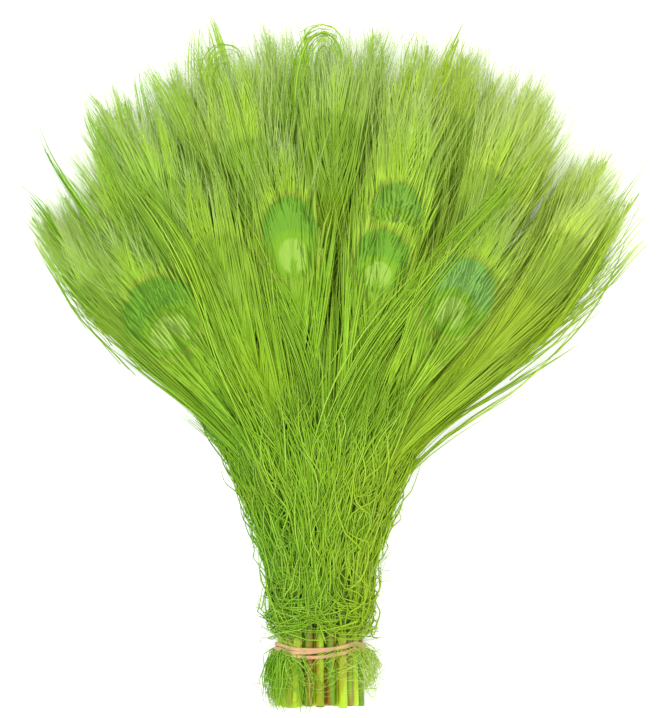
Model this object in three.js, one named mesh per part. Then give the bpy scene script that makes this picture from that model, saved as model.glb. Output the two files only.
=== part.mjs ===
// A bunch of dyed peacock eye feathers, held by a rubber band wound round the quills and laid on a surface.
// Millimetres, +Z up. The bunch lies along +Y, cut ends at -Y and tips at +Y, resting on z = 0.
// While it is built, y = 0 is the middle of the band and x = 0 the axis of the quills, and the last lines
// centre it.
import * as THREE from "three";

// Driving dimensions
const BELOW_BAND = 24; // band to the cut ends
const REACH = 261; // band to the tips of the longest feather
const QUILL_DIAMETER = 3.7; // at the band
const VANE_TAPER = 0.62; // the quill's thickness where the vane opens, as a share of that at the band
const TIP_TAPER = 0.24; // and past the next TAPER_LENGTH
const TAPER_LENGTH = 160;
const QUILL_PITCH = 4.4; // quill to quill in the bundle
const ROWS = [5, 6, 7, 8, 7, 6, 5]; // quills in each row of the bundle, from the lowest row up
const LEAN_SPREAD = 6; // feathers differ in lean by this many degrees
const REACH_SPREAD = 8; // and in length by this much
const SIDE_SHORTER = 28; // the outermost feathers are this much shorter
const RIGHT_LONGER = 8; // but those on the right less so, and those on the left more
const FULL_ROWS = 2; // rows above the lowest one that are as long as it
const UPPER_SHORTER = 5; // and each row above those is shorter by this much
const CUT_SPREAD = 1.6; // the cut ends differ by this much
const END_SPLAY = 0.05; // share by which the bundle is wider at the cut ends than at the band
const BAND_THICKNESS = 1.2;
const BAND_WIDTH = 4.8; // three turns side by side
const BAND_GAP = 0.3; // band to the quills
const FAN_ANGLE = 46; // lean of the outermost feathers where they lean most, in degrees
const ROW_NARROWER = 0.03; // each row above or below the widest one leans less by this share
const VANE_THICKNESS = 0.6;
const BARB_LENGTH = 46; // barbs of the open vane
const BARB_ANGLE = 26; // barbs to the rachis, in degrees
const TIP_BARB_ANGLE = 5; // and at its tip
const CROWN = 14; // barbs past the end of the rachis
const NARROW_CROWN = 8.4; // from the feather's tip to where its barbs begin to spread
const OPEN_VANE = 50; // and to where they have their full angle
const LONG_BARBS = 75; // and to where they have their full length
const NOTCH = 0.76; // barbs between two locks, as a share of theirs

// How the feathers lie over each other
const BEND_START = 5; // the quills stay parallel up to here
const BEND_LENGTH = 110; // and turn to their lean over this length
const RETURN_START = 105; // past here they turn back again
const RETURN_END = 235; // up to here
const RETURN_SHARE = 0.32; // by this share of their lean
const LEVEL_STEP = 3.7; // rise from one layer of vanes to the next
const BUNDLED_TO = 6; // the quills lie in the rows of the bundle up to here
const LAYERED_AT = 88; // and past here every feather lies in its own layer
const SIDE_DROOP = 0.45; // share by which the stack is thinner at its sides
const TIP_DROOP = 0.22; // and at the tips
const TIP_DROOP_START = 130; // band to where the stack gets thinner towards the tips
const HALF_FAN = 130;
const FAN_OVERRUN = 1.1; // the sides droop no further past this share of the half fan
const SIDE_SHARE = 0.45; // a vane's share of the distance to its neighbour in the same layer
const ROW_RISE = (QUILL_PITCH * Math.sqrt(3)) / 2;
const TOP_ROW = ROWS.length - 1;
const WIDEST_ROW = 3;

// Lean in degrees and length past the band of the uppermost feathers, by row and column of their quills
const UPPERMOST = {
  "6,0": { lean: -38, reach: 193 },
  "6,1": { lean: -21, reach: 201 },
  "6,2": { lean: -6.5, reach: 210 },
  "6,3": { lean: 12, reach: 202 },
  "6,4": { lean: 30.5, reach: 196 },
  "5,3": { lean: 14.5, reach: 231 },
};

const radians = THREE.MathUtils.degToRad;
const mix = THREE.MathUtils.lerp;
const smooth = (value, from, to) => THREE.MathUtils.smoothstep(value, from, to);

// The same spread of numbers from 0 to 1 on every run
const GENERATOR = 48271;
const MODULUS = 2147483647;
let state = 20117;
function draw() {
  state = (state * GENERATOR) % MODULUS;
  return state / MODULUS;
}

// Where a layer's underside lies over a point: layers are thickest in the middle of the fan
function layerHeight(level, x, y) {
  const side = 1 - SIDE_DROOP * Math.min(FAN_OVERRUN, Math.abs(x) / HALF_FAN) ** 2;
  const tip = 1 - TIP_DROOP * smooth(y, TIP_DROOP_START, REACH);
  return level * LEVEL_STEP * side * tip;
}

// A quill is round and thickest up to the band, and tapers from there in two straight stretches
function quillRadius(along) {
  const lower = mix(1, VANE_TAPER, Math.max(0, along) / LAYERED_AT);
  const upper = mix(VANE_TAPER, TIP_TAPER, Math.min(1, (along - LAYERED_AT) / TAPER_LENGTH));
  return (QUILL_DIAMETER / 2) * (along < LAYERED_AT ? lower : upper);
}

// The plan of one feather's rachis, as points a step apart from the band to its tip
const STEP = 1;
const LAST_PLACE = 0.999; // places along the plan stay just short of its last point
function rachisPlan(x, lean, reach) {
  const points = [{ x, y: 0, heading: 0 }];
  for (let along = 0; along < reach + BARB_LENGTH; along += STEP) {
    const middle = along + STEP / 2;
    const bent = smooth(middle, BEND_START, BEND_START + BEND_LENGTH);
    const returned = 1 - RETURN_SHARE * smooth(middle, RETURN_START, RETURN_END);
    const heading = radians(lean) * bent * returned;
    const last = points[points.length - 1];
    points.push({
      x: last.x + STEP * Math.sin(heading),
      y: last.y + STEP * Math.cos(heading),
      heading,
    });
  }
  return points;
}

function pointAlong(feather, along) {
  if (along < 0) return { x: feather.x * (1 - (END_SPLAY * along) / BELOW_BAND), y: along, heading: 0 };
  const place = Math.min(along / STEP, feather.plan.length - 2 + LAST_PLACE);
  const i = Math.floor(place);
  const [a, b] = [feather.plan[i], feather.plan[i + 1]];
  const share = place - i;
  return { x: mix(a.x, b.x, share), y: mix(a.y, b.y, share), heading: mix(a.heading, b.heading, share) };
}

// Every feather of the bunch, row by row from the surface up
const feathers = [];
ROWS.forEach((count, row) => {
  for (let column = 0; column < count; column++) {
    const side = (2 * column) / (count - 1) - 1;
    const fanned = FAN_ANGLE * (1 - ROW_NARROWER * Math.abs(row - WIDEST_ROW));
    const upper = UPPER_SHORTER * Math.max(0, row - FULL_ROWS);
    const shorter = SIDE_SHORTER * side ** 2 - RIGHT_LONGER * side + upper;
    const usual = {
      lean: fanned * side + LEAN_SPREAD * (draw() - 0.5),
      reach: REACH - shorter - REACH_SPREAD * draw(),
    };
    const { lean, reach } = UPPERMOST[`${row},${column}`] ?? usual;
    const x = (column - (count - 1) / 2) * QUILL_PITCH;
    const z = BAND_THICKNESS + BAND_GAP + QUILL_DIAMETER / 2 + row * ROW_RISE;
    feathers.push({
      x,
      z,
      lean,
      reach,
      row,
      column,
      level: 2 * row + (column % 2),
      outer: column === 0 ? -1 : column === count - 1 ? 1 : 0,
      below: BELOW_BAND - CUT_SPREAD * draw(),
      plan: rachisPlan(x, lean, reach),
    });
  }
});

// Underside of a feather at a point of the plan: bundled at the band, in its own layer in the fan
function underside(feather, x, y, radius) {
  const share = smooth(y, BUNDLED_TO, LAYERED_AT);
  return mix(feather.z - radius, layerHeight(feather.level, x, y), share);
}

// A vane's room on one side, up to the next feather of the same layer
function roomBeside(feather, side, along) {
  const next = feathers.find((f) => f.row === feather.row && f.column === feather.column + 2 * side);
  if (!next) return Infinity;
  const [here, there] = [pointAlong(feather, along), pointAlong(next, along)];
  return SIDE_SHARE * Math.hypot(there.x - here.x, there.y - here.y);
}

// One side's lock at a station: how far it runs along its barb, and that barb's angle to the rachis.
// A shorter lock ends further back, where there is less room, so the room is looked up again.
const ROOM_PASSES = 4;
function lock(feather, side, along, notched) {
  const fromTip = feather.reach - along;
  const angle = radians(mix(TIP_BARB_ANGLE, BARB_ANGLE, smooth(fromTip, NARROW_CROWN, OPEN_VANE)));
  const whole = mix(CROWN, BARB_LENGTH, smooth(fromTip, CROWN, LONG_BARBS));
  const fullLength = notched ? NOTCH * whole : whole;
  let length = fullLength;
  for (let pass = 0; pass < ROOM_PASSES; pass++) {
    const room = roomBeside(feather, side, along + length * Math.cos(angle));
    length = Math.min(length, room / Math.sin(angle));
  }
  return { length, angle };
}

const QUILL_STATIONS = [0, 6, 22, 37, 51]; // along the quill from the band, the first at the cut end
const VANE_START = 64;
const VANE_STATIONS = 13;
const STEM_FRINGE = [0, 0, 6, 7.5, 8]; // how far the outermost feathers' barbs stand off at those stations
const FRINGE_SWEEP = 0.8; // and how far they run forwards for each millimetre that they stand off
const CLOSED_VANE = 0.1; // how far the vane's first station opens, as a share of its full width
const CLOSED_OUTER_VANE = 0.4; // and on the outer side of the outermost feathers
const OPENING_STATIONS = 4; // stations over which it opens
const SIXTH_TURN = Math.PI / 6; // from a quill's side corners to its widest place

// A feather as six corners at each station, in order round its section
function featherGeometry(feather) {
  const rings = [];
  const corner = (place, along, across, side, lift, radius) => {
    const x = place.x + along * Math.sin(place.heading) + side * across * Math.cos(place.heading);
    const y = place.y + along * Math.cos(place.heading) - side * across * Math.sin(place.heading);
    return new THREE.Vector3(x, y, underside(feather, x, y, radius) + lift);
  };
  QUILL_STATIONS.forEach((station, i) => {
    const along = i === 0 ? -feather.below : station;
    const radius = quillRadius(along);
    const place = pointAlong(feather, along);
    const edge = (side, lift) => {
      const fringe = side === feather.outer ? STEM_FRINGE[i] : 0;
      const across = Math.cos(SIXTH_TURN) * radius + fringe;
      return corner(place, FRINGE_SWEEP * fringe, across, side, lift * radius, radius);
    };
    rings.push([
      corner(place, 0, 0, 1, 0, radius),
      edge(1, 0.5),
      edge(1, 1.5),
      corner(place, 0, 0, 1, 2 * radius, radius),
      edge(-1, 1.5),
      edge(-1, 0.5),
    ]);
  });
  const rachisEnd = feather.reach - CROWN;
  for (let i = 0; i < VANE_STATIONS; i++) {
    const along = mix(VANE_START, rachisEnd, i / (VANE_STATIONS - 1));
    const radius = quillRadius(along);
    const place = pointAlong(feather, along);
    const notched = i % 2 === 1;
    const edge = (side, lift) => {
      const { length, angle } = lock(feather, side, along, notched);
      const closed = side === feather.outer ? CLOSED_OUTER_VANE : CLOSED_VANE;
      const reached = length * mix(closed, 1, smooth(i, 0, OPENING_STATIONS));
      const across = radius + reached * Math.sin(angle);
      return corner(place, reached * Math.cos(angle), across, side, lift, radius);
    };
    rings.push([
      corner(place, 0, 0, 1, 0, radius),
      edge(1, 0),
      edge(1, VANE_THICKNESS),
      corner(place, 0, 0, 1, 2 * radius, radius),
      edge(-1, VANE_THICKNESS),
      edge(-1, 0),
    ]);
  }
  return loft(rings);
}

// A closed body through rings of equal numbers of points, each ring counter-clockwise seen from its far end
function loft(rings, closed = false) {
  const sides = rings[0].length;
  const index = [];
  const spans = closed ? rings.length : rings.length - 1;
  for (let i = 0; i < spans; i++) {
    const next = ((i + 1) % rings.length) * sides;
    for (let j = 0; j < sides; j++) {
      const [a, b] = [i * sides + j, i * sides + ((j + 1) % sides)];
      const [c, d] = [next + j, next + ((j + 1) % sides)];
      index.push(a, c, b, b, c, d);
    }
  }
  if (!closed) {
    const last = (rings.length - 1) * sides;
    for (let j = 1; j < sides - 1; j++) {
      index.push(0, j, j + 1);
      index.push(last, last + j + 1, last + j);
    }
  }
  const geometry = new THREE.BufferGeometry().setFromPoints(rings.flat());
  geometry.setIndex(index);
  geometry.computeVertexNormals();
  return geometry;
}

// The rubber band: three turns side by side, drawn tight round the six corners of the bundle
const TURNS = 3;
const ARC_STEPS = 3;
const EDGE_HEIGHT = 0.6 * BAND_THICKNESS; // the band's outer edges
const GROOVE_HEIGHT = 0.75 * BAND_THICKNESS; // the grooves between its turns
const FLAT_START = 0.28; // the flat top of a turn, as shares of its width
const FLAT_END = 0.72;
function bandGeometry() {
  const corners = [
    [0, -1],
    [0, 1],
    [WIDEST_ROW, 1],
    [TOP_ROW, 1],
    [TOP_ROW, -1],
    [WIDEST_ROW, -1],
  ].map(([row, side]) => {
    const z = BAND_THICKNESS + BAND_GAP + QUILL_DIAMETER / 2 + row * ROW_RISE;
    return new THREE.Vector2((side * (ROWS[row] - 1) * QUILL_PITCH) / 2, z);
  });
  const width = BAND_WIDTH / TURNS;
  const rings = [];
  corners.forEach((corner, i) => {
    const before = corners[(i + corners.length - 1) % corners.length];
    const after = corners[(i + 1) % corners.length];
    const turn = (from, to) => Math.atan2(to.y - from.y, to.x - from.x) - Math.PI / 2;
    const start = turn(before, corner);
    let end = turn(corner, after);
    while (end < start) end += 2 * Math.PI;
    for (let step = 0; step <= ARC_STEPS; step++) {
      const angle = mix(start, end, step / ARC_STEPS);
      const out = new THREE.Vector2(Math.cos(angle), Math.sin(angle));
      const at = (distance, y) => {
        const reach = QUILL_DIAMETER / 2 + BAND_GAP + distance;
        return new THREE.Vector3(corner.x + out.x * reach, y, corner.y + out.y * reach);
      };
      const ring = [at(0, -BAND_WIDTH / 2), at(0, BAND_WIDTH / 2)];
      for (let t = TURNS - 1; t >= 0; t--) {
        const low = -BAND_WIDTH / 2 + t * width;
        ring.push(at(t === TURNS - 1 ? EDGE_HEIGHT : GROOVE_HEIGHT, low + width));
        ring.push(at(BAND_THICKNESS, low + FLAT_END * width));
        ring.push(at(BAND_THICKNESS, low + FLAT_START * width));
      }
      ring.push(at(EDGE_HEIGHT, -BAND_WIDTH / 2));
      rings.push(ring);
    }
  });
  return loft(rings, true);
}

const featherMaterial = new THREE.MeshStandardMaterial({ color: 0x86b52c, roughness: 0.7, metalness: 0 });
const bandMaterial = new THREE.MeshStandardMaterial({ color: 0xc9a078, roughness: 0.6, metalness: 0 });

const bunch = new THREE.Group();
feathers.forEach((feather, i) => {
  const mesh = new THREE.Mesh(featherGeometry(feather), featherMaterial.clone());
  mesh.name = `feather_${String(i + 1).padStart(2, "0")}`;
  bunch.add(mesh);
});
const band = new THREE.Mesh(bandGeometry(), bandMaterial);
band.name = "rubber_band";
bunch.add(band);

const box = new THREE.Box3().setFromObject(bunch, true);
const centre = box.getCenter(new THREE.Vector3());
bunch.position.set(-centre.x, -centre.y, -box.min.z);

const part = new THREE.Group();
part.add(bunch);
export default part;
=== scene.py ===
"""The looks of a bunch of lime green dyed peacock feathers, tied with a rubber band and seen from above.

Lengths are in millimetres until a mesh is made, in the bunch's own frame: y = 0 is the middle of the band,
x = 0 the axis of the quills and z = 0 the surface. The feathers lie where the part's source puts them.
"""

import math
from typing import NamedTuple

import bpy
import numpy as np
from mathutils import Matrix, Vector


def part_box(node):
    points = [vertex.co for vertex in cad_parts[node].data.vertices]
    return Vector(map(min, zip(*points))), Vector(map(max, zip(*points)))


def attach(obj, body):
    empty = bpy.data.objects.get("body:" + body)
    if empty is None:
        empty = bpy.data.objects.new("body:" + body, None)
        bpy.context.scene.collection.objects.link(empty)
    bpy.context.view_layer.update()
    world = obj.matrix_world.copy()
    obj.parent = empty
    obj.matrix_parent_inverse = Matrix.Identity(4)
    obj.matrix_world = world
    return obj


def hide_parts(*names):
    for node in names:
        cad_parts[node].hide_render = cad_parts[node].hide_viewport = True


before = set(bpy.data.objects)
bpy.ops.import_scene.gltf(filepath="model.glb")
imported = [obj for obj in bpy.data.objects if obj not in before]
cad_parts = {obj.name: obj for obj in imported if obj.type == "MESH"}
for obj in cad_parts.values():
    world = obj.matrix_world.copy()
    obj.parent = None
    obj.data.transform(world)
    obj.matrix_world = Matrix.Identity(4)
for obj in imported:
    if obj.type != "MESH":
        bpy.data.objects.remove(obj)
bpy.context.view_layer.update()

METRE = 0.001

# The bunch, as the part's source has it
BELOW_BAND = 24.0
REACH = 261.0
QUILL_DIAMETER = 3.7
QUILL_PITCH = 4.4
ROWS = (5, 6, 7, 8, 7, 6, 5)
VANE_TAPER = 0.62
TIP_TAPER = 0.24
TAPER_LENGTH = 160.0
LEAN_SPREAD = 6.0
REACH_SPREAD = 8.0
SIDE_SHORTER = 28.0
RIGHT_LONGER = 8.0
FULL_ROWS = 2
UPPER_SHORTER = 5.0
CUT_SPREAD = 1.6
END_SPLAY = 0.05
BAND_THICKNESS = 1.2
BAND_GAP = 0.3
FAN_ANGLE = 46.0
ROW_NARROWER = 0.03
CROWN = 14.0
BEND_START = 5.0
BEND_LENGTH = 110.0
RETURN_START = 105.0
RETURN_END = 235.0
RETURN_SHARE = 0.32
LEVEL_STEP = 3.7
BUNDLED_TO = 6.0
LAYERED_AT = 88.0
SIDE_DROOP = 0.45
TIP_DROOP = 0.22
TIP_DROOP_START = 130.0
HALF_FAN = 130.0
FAN_OVERRUN = 1.1
ROW_RISE = QUILL_PITCH * math.sqrt(3) / 2
TOP_ROW = len(ROWS) - 1
WIDEST_ROW = 3
UPPERMOST = {
    (6, 0): (-38.0, 193.0),
    (6, 1): (-21.0, 201.0),
    (6, 2): (-6.5, 210.0),
    (6, 3): (12.0, 202.0),
    (6, 4): (30.5, 196.0),
    (5, 3): (14.5, 231.0),
}

# How plainly an eye shows: the dye has taken most of its colour, and some feathers lie face down
EYE_STRENGTH = {(6, 0): 0.95, (6, 1): 0.25, (6, 2): 0.9, (6, 3): 0.9, (6, 4): 1.0, (5, 3): 0.7}
HIDDEN_EYE_STRENGTH = 0.2
EYE_FROM_TIP = 46.0
# Its size across the feather and along it
EYE_SIZE = {
    (6, 0): (1.3, 1.05),
    (6, 2): (0.88, 1.12),
    (6, 3): (0.82, 0.86),
    (6, 4): (1.0, 1.1),
    (5, 3): (0.8, 0.85),
}
EYE_LOWER = {(5, 3): 9.0}
EYE_BLUE = {(6, 4): 1.0, (5, 3): 0.3}
# Painted light: a vane's colour gets lighter past these places, from its eye, which brightens the upper
# fan; the first in the fan's middle, the other at its sides
LIGHT_FROM = (-25.0, -70.0)
LIGHT_TO = 45.0
# The ends of barbs get paler along the vane, from its eye, and less so on feathers that end inside the fan
PALING = (0.06, 0.8)
PALING_OVER = (5.0, 52.0)
FADING_OVER = (34.0, 66.0)
INNER_PALING = 0.35
# and the painted light towards the tip keeps this share of its strength on those feathers
INNER_LIGHTER = 0.5
# The upper part of these feathers' vanes lies on a neighbour: the rachis rises between the first two places
# along it by the third value, and after a while it comes down again by a share of that
RAISED = {(6, 0): (98.0, 122.0, 5.5), (6, 4): (102.0, 126.0, 5.5), (5, 3): (162.0, 180.0, 10.5)}
RAISED_FOR = 30.0
RAISED_FALL = 0.7

# How much longer the crowns are, by the feather's lean
LEANS = (-46, -36, -28, -18, -8, 0, 10, 18, 27, 34, 40, 46)
LONGER = (0, -2, 0, 0, 0, -4, -3, 2, 6, -6, -14, 0)
EDGE_LONGER = -5.0
# Broader vanes: some of the upper feathers lie spread out flat, and the lower rows fill the gaps
BROAD = {(6, 0): 1.1, (6, 1): 1.1, (6, 2): 1.1, (6, 3): 1.1, (6, 4): 1.2, (5, 3): 1.2}
BACKING_BROAD = 1.2
PAST_TIP = 60  # a feather's plan goes on this far past its tip, for its barbs

band_low, band_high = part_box("rubber_band")
BUNCH_X = (band_low.x + band_high.x) / 2
BUNCH_Y = (band_low.y + band_high.y) / 2


def mix(a, b, share):
    return a + (b - a) * share


def smooth(value, start, end):
    share = np.clip((value - start) / (end - start), 0, 1)
    return share * share * (3 - 2 * share)


def unit(vectors):
    return vectors / (np.linalg.norm(vectors, axis=-1, keepdims=True) + 1e-9)


class Spread:
    """The same numbers from 0 to 1 as the part's source draws, in the same order."""

    SEED, GENERATOR, MODULUS = 20117, 48271, 2147483647

    def __init__(self):
        self.state = self.SEED

    def draw(self):
        self.state = (self.state * self.GENERATOR) % self.MODULUS
        return self.state / self.MODULUS


def layer_height(level, x, y):
    side = 1 - SIDE_DROOP * np.minimum(FAN_OVERRUN, np.abs(x) / HALF_FAN) ** 2
    tip = 1 - TIP_DROOP * smooth(y, TIP_DROOP_START, REACH)
    return level * LEVEL_STEP * side * tip


def quill_radius(along):
    lower = mix(1, VANE_TAPER, np.maximum(0, along) / LAYERED_AT)
    upper = mix(VANE_TAPER, TIP_TAPER, np.minimum(1, (along - LAYERED_AT) / TAPER_LENGTH))
    return QUILL_DIAMETER / 2 * np.where(along < LAYERED_AT, lower, upper)


class Feather:
    """One feather: where its rachis runs, and the layer that its vane lies in."""

    def __init__(self, number, row, column, spread):
        count, place = ROWS[row], (row, column)
        side = 2 * column / (count - 1) - 1
        fanned = FAN_ANGLE * (1 - ROW_NARROWER * abs(row - WIDEST_ROW))
        shorter = SIDE_SHORTER * side**2 - RIGHT_LONGER * side + UPPER_SHORTER * max(0, row - FULL_ROWS)
        lean = fanned * side + LEAN_SPREAD * (spread.draw() - 0.5)
        reach = REACH - shorter - REACH_SPREAD * spread.draw()
        self.lean, self.reach = UPPERMOST.get(place, (lean, reach))
        self.below = BELOW_BAND - CUT_SPREAD * spread.draw()
        self.name = f"feather_{number:02d}"
        self.number, self.row, self.column = number, row, column
        self.x = (column - (count - 1) / 2) * QUILL_PITCH
        self.z = BAND_THICKNESS + BAND_GAP + QUILL_DIAMETER / 2 + row * ROW_RISE
        self.level = 2 * row + column % 2
        self.outer = -1 if column == 0 else 1 if column == count - 1 else 0
        # the side on which its vane makes the edge of the fan, where the barbs keep close to the rachis
        self.edge = self.outer if row < TOP_ROW else 0
        self.eye = EYE_STRENGTH.get(place, HIDDEN_EYE_STRENGTH)
        self.eye_width, self.eye_length = EYE_SIZE.get(place, (1.0, 1.0))
        self.eye_at = self.reach - EYE_FROM_TIP - EYE_LOWER.get(place, 0)
        self.blue = EYE_BLUE.get(place, 0.0)
        self.paling, self.lighter = (INNER_PALING, INNER_LIGHTER) if place in UPPERMOST else (1.0, 1.0)
        self.raised = RAISED.get(place)
        self.longer = EDGE_LONGER if self.edge else np.interp(self.lean, LEANS, LONGER)
        self.backing = row < TOP_ROW - 1
        self.light_from = mix(*LIGHT_FROM, min(1.0, (self.lean / FAN_ANGLE) ** 2))
        self.broad = BROAD.get(place, BACKING_BROAD if self.backing else 1.0)
        self.plan()

    def plan(self):
        steps = int(self.reach + PAST_TIP)
        middles = np.arange(steps) + 0.5
        bent = smooth(middles, BEND_START, BEND_START + BEND_LENGTH)
        returned = 1 - RETURN_SHARE * smooth(middles, RETURN_START, RETURN_END)
        heading = math.radians(self.lean) * bent * returned
        self.s = np.arange(steps + 1.0)
        self.px = self.x + np.concatenate([[0], np.cumsum(np.sin(heading))])
        self.py = np.concatenate([[0], np.cumsum(np.cos(heading))])
        self.ph = np.concatenate([[0], heading])

    def at(self, along):
        """x, y and heading at places along the rachis."""
        x = np.interp(along, self.s, self.px)
        y = np.interp(along, self.s, self.py)
        heading = np.interp(along, self.s, self.ph)
        below = along < 0
        x = np.where(below, self.x * (1 - END_SPLAY * along / BELOW_BAND), x)
        return x, np.where(below, along, y), heading

    def rise(self, along):
        """How far its rachis and vane are lifted over a neighbour."""
        if not self.raised:
            return 0 * along
        start, end, height = self.raised
        lowered = RAISED_FALL * smooth(along, end + RAISED_FOR, self.reach)
        return height * smooth(along, start, end) * (1 - lowered)

    def underside(self, x, y, radius):
        share = smooth(y, BUNDLED_TO, LAYERED_AT)
        return mix(self.z - radius, layer_height(self.level, x, y), share)


def all_feathers():
    spread = Spread()
    made = []
    for row, count in enumerate(ROWS):
        for column in range(count):
            made.append(Feather(len(made) + 1, row, column, spread))
    return made


# A barb is a three-sided spine with a flat underside, which ends in a point
BARB_SIDES = 3
UV_ROWS = 4  # the barbs' places in the texture map lie in this many rows
UV_BARBS = 0.92  # and take this share of its height: the quill has the rest
LOWEST = 0.9  # no barb's path runs lower than this


class Strands:
    """Many barbs, gathered as arrays and made into one mesh."""

    def __init__(self):
        self.points, self.faces, self.uvs, self.cells, self.attributes = [], [], [], [], []
        self.count, self.barbs = 0, 0

    def add(self, x, y, z, width, twist, flatness, attributes):
        """x, y, z and width are (barbs, steps) and twist is (barbs,). The others can be single values."""
        barbs, steps = x.shape
        path = np.stack([x, y, z], axis=2)
        tangent = unit(np.gradient(path, axis=1))
        across = unit(np.cross(tangent, [0.0, 0.0, 1.0]))
        up = np.cross(across, tangent)
        cos, sin = np.cos(twist)[:, None, None], np.sin(twist)[:, None, None]
        across, up = across * cos + up * sin, up * cos - across * sin
        half = width[:, :, None] / 2
        left = path - across * half
        right = path + across * half
        ridge = path + up * half * np.broadcast_to(flatness, width.shape)[:, :, None]
        body = np.stack([left[:, :-1], right[:, :-1], ridge[:, :-1]], axis=2)
        body = body.reshape(barbs, -1, 3)
        points = np.concatenate([body, path[:, -1:]], axis=1)
        per_barb = points.shape[1]
        last = (steps - 2) * BARB_SIDES
        tip = per_barb - 1
        quads, quad_uvs = [], []
        triangles, triangle_uvs = [(0, 2, 1)], [((0.1, 0.01), (0.5, 0.04), (0.9, 0.01))]
        rises = [0.06 + 0.9 * k / (steps - 1) for k in range(steps)]
        for j in range(BARB_SIDES):
            n = (j + 1) % BARB_SIDES
            u0, u1 = (j + 0.08) / BARB_SIDES, (j + 0.92) / BARB_SIDES
            for k in range(steps - 2):
                a, b = k * BARB_SIDES, (k + 1) * BARB_SIDES
                quads.append((a + j, a + n, b + n, b + j))
                quad_uvs.append(((u0, rises[k]), (u1, rises[k]), (u1, rises[k + 1]), (u0, rises[k + 1])))
            triangles.append((last + j, last + n, tip))
            triangle_uvs.append(((u0, rises[-2]), (u1, rises[-2]), ((u0 + u1) / 2, rises[-1])))
        start = self.count + np.arange(barbs)[:, None, None] * per_barb
        for faces, uvs in ((quads, quad_uvs), (triangles, triangle_uvs)):
            faces, uvs = np.array(faces), np.array(uvs)
            self.faces.append((start + faces[None]).reshape(-1, faces.shape[1]))
            self.uvs.append(np.broadcast_to(uvs[None], (barbs, *uvs.shape)).reshape(-1, 2))
            self.cells.append(np.repeat(self.barbs + np.arange(barbs), uvs.shape[0] * uvs.shape[1]))
        self.points.append(points.reshape(-1, 3))
        spread = {}
        for name, value in attributes.items():
            value = np.broadcast_to(value, (barbs, steps))
            body = np.repeat(value[:, :-1], BARB_SIDES, axis=1)
            spread[name] = np.concatenate([body, value[:, -1:]], axis=1).reshape(-1)
        self.attributes.append(spread)
        self.count += barbs * per_barb
        self.barbs += barbs

    def texture_places(self):
        """Each barb has a cell of its own in the texture map, with its root at the bottom."""
        columns = math.ceil(self.barbs / UV_ROWS)
        placed = []
        for uv, cell in zip(self.uvs, self.cells):
            u = (cell % columns + uv[:, 0]) / columns
            v = UV_BARBS * (cell // columns + uv[:, 1]) / UV_ROWS
            placed.append(np.stack([u, v], axis=1))
        return placed


def mesh_object(name, points, face_groups, uvs, attributes, materials, material_index=None):
    """A mesh from arrays of points in millimetres and of faces with three or four corners."""
    mesh = bpy.data.meshes.new(name)
    corners = np.concatenate([g.reshape(-1) for g in face_groups])
    sizes = np.concatenate([np.full(len(g), g.shape[1]) for g in face_groups])
    mesh.vertices.add(len(points))
    placed = points * METRE + [BUNCH_X, BUNCH_Y, 0]
    mesh.vertices.foreach_set("co", placed.astype(np.float32).ravel())
    mesh.loops.add(len(corners))
    mesh.loops.foreach_set("vertex_index", corners.astype(np.int32))
    mesh.polygons.add(len(sizes))
    starts = np.concatenate([[0], np.cumsum(sizes)[:-1]])
    mesh.polygons.foreach_set("loop_start", starts.astype(np.int32))
    mesh.polygons.foreach_set("loop_total", sizes.astype(np.int32))
    for material in materials:
        mesh.materials.append(material)
    if material_index is not None:
        mesh.polygons.foreach_set("material_index", material_index.astype(np.int32))
    mesh.polygons.foreach_set("use_smooth", np.ones(len(sizes), bool))
    for key, value in attributes.items():
        mesh.attributes.new(key, "FLOAT", "POINT").data.foreach_set("value", value.astype(np.float32))
    texture_map = mesh.uv_layers.new(name="OFBake")
    texture_map.uv.foreach_set("vector", np.concatenate(uvs).astype(np.float32).ravel())
    mesh.update(calc_edges=True)
    mesh.validate()
    made = bpy.data.objects.new(name, mesh)
    bpy.context.scene.collection.objects.link(made)
    return made


# Barbs of the fan, by how far from the feather's tip they leave its rachis
FROM_TIP = (14, 30, 45, 70, 110, 160, 230)
LENGTHS = (8, 25, 39, 59, 75, 78, 72)
ROOT_ANGLES = (3, 10, 19, 27, 27, 23, 18)
TIP_ANGLES = (9, 8, 8, 7, 4, 1, -1)
# On the outer side of the outermost feathers, as shares of these
LEFT_ANGLES = (0.3, 0.2, 0.15, 0.1, 0.1, 0.3, 0.6)
RIGHT_ANGLES = (0.25, 0.15, 0.15, 0.15, 0.25, 0.5, 0.8)
OUTER_LENGTHS = (0.8, 0.7, 0.7, 0.8, 1.0, 1.0, 1.0)
INNER_ANGLES = 0.9
LONGER_OVER = (20.0, 90.0)
FULL_VANE = (130.0, 85.0)
CROWNED = (95.0, 55.0)  # barbs are the crown's past the second place, and the vane's up to the first
THINNED = (110.0, 160.0)
BACKING_WIDTH = 0.95
BARB_STEP = 1.0  # rachis between two barbs of one side
UPPER_STEP = 0.8  # and on the feathers of the two upper rows, which are seen best
HIDDEN_STEP = 3.0  # and where other feathers hide them
HIDDEN_FROM_TIP = 90.0
CROWN_LENGTH = 38.0  # barbs stand further apart on this last stretch
CROWN_STEP = 1.7
BARB_STEPS = 7
VANE_FROM = 34.0
BARB_WIDTH = 0.75
CROWN_WIDTH = 0.5
OUTER_WIDTH = 0.5  # on the outer side of the outermost feathers
EYE_WIDTH = 1.5
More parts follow.
